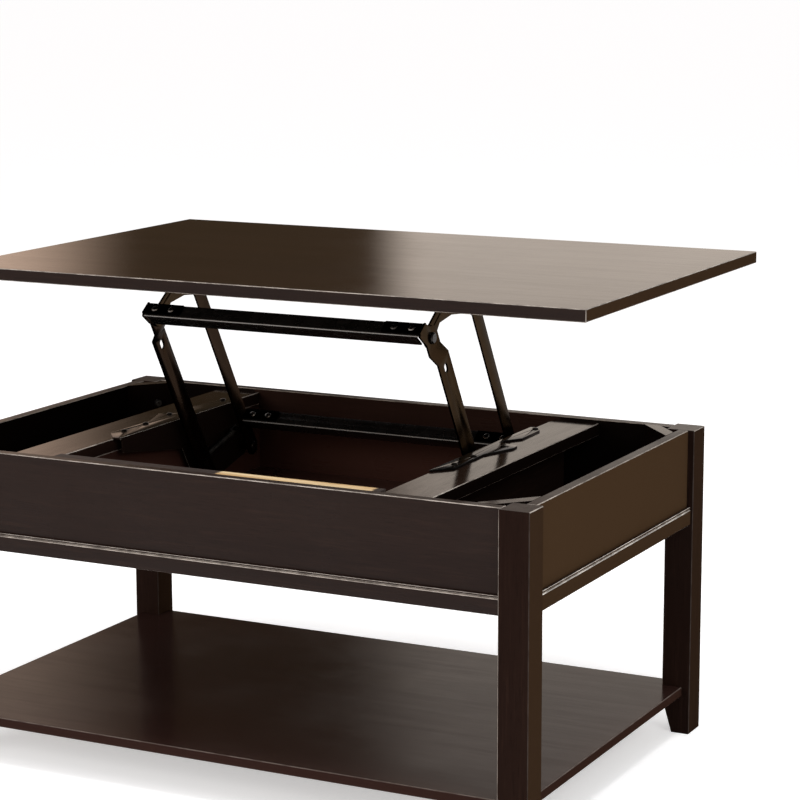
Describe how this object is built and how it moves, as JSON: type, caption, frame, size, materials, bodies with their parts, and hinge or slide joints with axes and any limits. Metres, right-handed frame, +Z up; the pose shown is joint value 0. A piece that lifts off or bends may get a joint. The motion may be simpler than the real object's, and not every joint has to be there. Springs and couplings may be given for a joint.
{
  "type": "lift-top coffee table",
  "caption": "Rectangular lift-top coffee table in dark stained wood: a storage box on square legs, a lower shelf and a top raised on a sprung steel linkage.",
  "frame": {"origin": "on the floor, under the middle of the raised table's bounding box", "axes": "+X to the right along the table's length seen from the front, +Y to the rear, +Z up"},
  "size_m": [0.966, 0.7714, 0.6753],
  "materials": {
    "stained_wood": "satin espresso stain",
    "bare_wood": "raw",
    "black_steel": "semi-gloss brown-black paint",
    "zinc_steel": "zinc plated",
    "pin_steel": "blackened"
  },
  "bodies": {
    "table": {"leg_front_left": "stained_wood", "leg_front_right": "stained_wood", "leg_rear_left": "stained_wood", "leg_rear_right": "stained_wood", "apron_front": "stained_wood", "apron_rear": "stained_wood", "apron_left": "stained_wood", "apron_right": "stained_wood", "rail_front": "stained_wood", "rail_rear": "stained_wood", "rail_left": "stained_wood", "rail_right": "stained_wood", "corner_braces": "stained_wood", "shelf": "stained_wood", "storage_floor": "stained_wood", "floor_strips": "stained_wood", "divider_left": "stained_wood", "divider_right": "stained_wood", "ledge_left": "stained_wood", "ledge_right": "stained_wood", "shelf_dowels": "bare_wood", "front_cleat": "bare_wood", "base_bracket_left": "black_steel", "base_bracket_right": "black_steel", "hanger_bolts": "zinc_steel", "hanger_nuts": "zinc_steel", "base_screws": "zinc_steel", "spring_left": "zinc_steel", "spring_right": "zinc_steel", "base_pivot_pins": "pin_steel", "spring_anchor_pins": "pin_steel"},
    "front_arms": {"front_arm_left": "black_steel", "front_arm_right": "black_steel", "upper_crossbar": "black_steel", "upper_bar_rivets": "pin_steel", "upper_pivot_bolts": "pin_steel", "arm_spring_pins": "pin_steel"},
    "rear_arms": {"rear_arm_left": "black_steel", "rear_arm_right": "black_steel", "lower_crossbar": "black_steel", "lower_bar_rivets": "pin_steel", "rear_pivot_pins": "pin_steel"},
    "top": {"tabletop": "stained_wood", "top_bracket_left": "black_steel", "top_bracket_right": "black_steel", "top_screws": "zinc_steel"}
  },
  "joints": [
    {"name": "lift", "type": "hinge", "parent": "table", "child": "front_arms", "pos_m": [0, 0.00334, 0.342], "axis": [1, 0, 0], "range_deg": [0, 50.5], "stiffness_Nm_per_rad": 10, "springref_deg": -91.67, "deforming": ["spring_left", "spring_right"]},
    {"name": "rear_link", "type": "hinge", "parent": "table", "child": "rear_arms", "pos_m": [0, 0.12134, 0.372], "axis": [1, 0, 0], "range_deg": [0, 50.5]},
    {"name": "top_level", "type": "hinge", "parent": "front_arms", "child": "top", "pos_m": [0, -0.14916, 0.60614], "axis": [1, 0, 0], "range_deg": [-50.5, 0]}
  ],
  "couplings": [
    {"joint": "rear_link", "follows": "lift", "ratio": 1},
    {"joint": "top_level", "follows": "lift", "ratio": -1}
  ]
}
